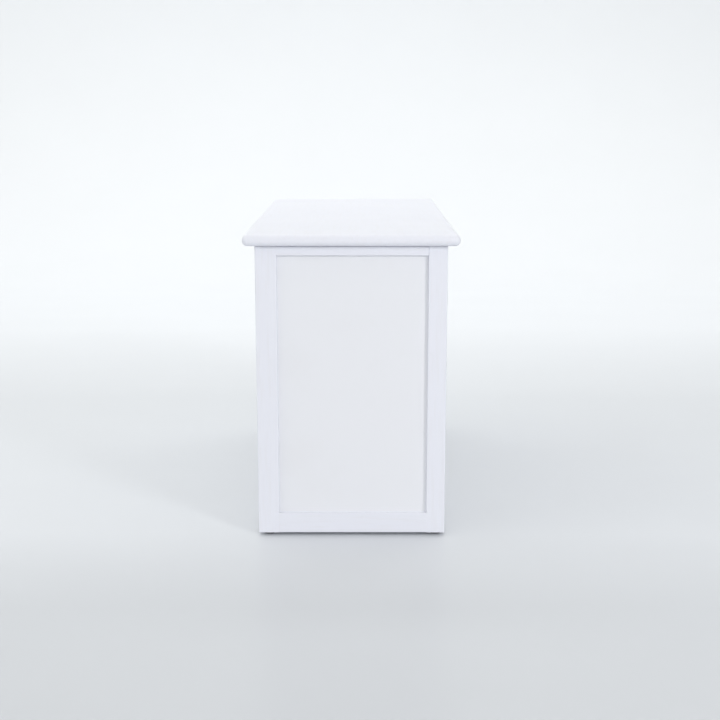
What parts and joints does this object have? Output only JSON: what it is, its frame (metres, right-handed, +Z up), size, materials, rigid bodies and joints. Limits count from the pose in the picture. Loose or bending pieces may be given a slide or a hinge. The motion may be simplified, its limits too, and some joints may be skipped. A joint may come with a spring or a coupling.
{
  "type": "toy box",
  "caption": "White painted wooden toy box with framed panel sides and a hinged round-edged lid held open by folding lid stays.",
  "frame": {"origin": "on the floor, under the middle of the lid's outline", "axes": "+X along the length, to the right as seen from the front; -Y is the front, the hinges are at +Y; +Z up"},
  "size_m": [0.8, 0.35, 0.507],
  "materials": {
    "frame_paint": "satin white paint over solid wood, faint brush and roller marks",
    "panel_paint": "satin white paint over fibreboard, smooth",
    "zinc_steel": "zinc plated, satin",
    "fastener_steel": "zinc plated, slightly darker",
    "dark_plastic": "moulded dark grey plastic",
    "soft_bumper": "soft clear-grey elastomer"
  },
  "bodies": {
    "root": {"back_batten": "frame_paint", "back_bottom_rail": "frame_paint", "back_left_glide": "dark_plastic", "back_left_post": "frame_paint", "back_panel": "panel_paint", "back_right_glide": "dark_plastic", "back_right_post": "frame_paint", "back_top_rail": "frame_paint", "bottom_board": "panel_paint", "front_batten": "frame_paint", "front_bottom_rail": "frame_paint", "front_centre_stile": "frame_paint", "front_left_glide": "dark_plastic", "front_left_panel": "panel_paint", "front_left_post": "frame_paint", "front_right_glide": "dark_plastic", "front_right_panel": "panel_paint", "front_right_post": "frame_paint", "front_top_rail": "frame_paint", "left_bumper": "soft_bumper", "left_end_bottom_rail": "frame_paint", "left_end_panel": "panel_paint", "left_end_top_rail": "frame_paint", "left_hinge_body_leaf": "zinc_steel", "left_hinge_body_screw_1": "fastener_steel", "left_hinge_body_screw_2": "fastener_steel", "left_hinge_pin": "zinc_steel", "left_stay_body_bracket": "zinc_steel", "left_stay_body_screw_1": "fastener_steel", "left_stay_body_screw_2": "fastener_steel", "right_bumper": "soft_bumper", "right_end_bottom_rail": "frame_paint", "right_end_panel": "panel_paint", "right_end_top_rail": "frame_paint", "right_hinge_body_leaf": "zinc_steel", "right_hinge_body_screw_1": "fastener_steel", "right_hinge_body_screw_2": "fastener_steel", "right_hinge_pin": "zinc_steel", "right_stay_body_bracket": "zinc_steel", "right_stay_body_screw_1": "fastener_steel", "right_stay_body_screw_2": "fastener_steel"},
    "lid": {"lid": "frame_paint", "left_hinge_lid_leaf": "zinc_steel", "left_hinge_lid_screw_1": "fastener_steel", "left_hinge_lid_screw_2": "fastener_steel", "left_stay_lid_bracket": "zinc_steel", "left_stay_lid_screw_1": "fastener_steel", "left_stay_lid_screw_2": "fastener_steel", "right_hinge_lid_leaf": "zinc_steel", "right_hinge_lid_screw_1": "fastener_steel", "right_hinge_lid_screw_2": "fastener_steel", "right_stay_lid_bracket": "zinc_steel", "right_stay_lid_screw_1": "fastener_steel", "right_stay_lid_screw_2": "fastener_steel"},
    "left_lower_arm": {"left_stay_lower_arm": "zinc_steel", "left_stay_elbow_rivet": "zinc_steel"},
    "left_upper_arm": {"left_stay_upper_arm": "zinc_steel"},
    "right_lower_arm": {"right_stay_lower_arm": "zinc_steel", "right_stay_elbow_rivet": "zinc_steel"},
    "right_upper_arm": {"right_stay_upper_arm": "zinc_steel"}
  },
  "joints": [
    {"name": "lid_hinge", "type": "hinge", "parent": "root", "child": "lid", "pos_m": [0, 0.1593, 0.4852], "axis": [-1, 0, 0], "range_deg": [0, 95]},
    {"name": "left_stay_lower_pivot", "type": "hinge", "parent": "root", "child": "left_lower_arm", "pos_m": [-0.3421, 0.129, 0.3752], "axis": [-1, 0, 0], "range_deg": [0, 95]},
    {"name": "left_stay_elbow", "type": "hinge", "parent": "left_lower_arm", "child": "left_upper_arm", "pos_m": [-0.3421, -0.021, 0.3632], "axis": [-1, 0, 0], "range_deg": [-95, 0]},
    {"name": "right_stay_lower_pivot", "type": "hinge", "parent": "root", "child": "right_lower_arm", "pos_m": [0.3421, 0.129, 0.3752], "axis": [-1, 0, 0], "range_deg": [0, 95]},
    {"name": "right_stay_elbow", "type": "hinge", "parent": "right_lower_arm", "child": "right_upper_arm", "pos_m": [0.3421, -0.021, 0.3632], "axis": [-1, 0, 0], "range_deg": [-95, 0]}
  ],
  "couplings": [
    {"joint": "left_stay_lower_pivot", "follows": "lid_hinge", "ratio": 1},
    {"joint": "left_stay_elbow", "follows": "lid_hinge", "ratio": -1},
    {"joint": "right_stay_lower_pivot", "follows": "lid_hinge", "ratio": 1},
    {"joint": "right_stay_elbow", "follows": "lid_hinge", "ratio": -1}
  ]
}
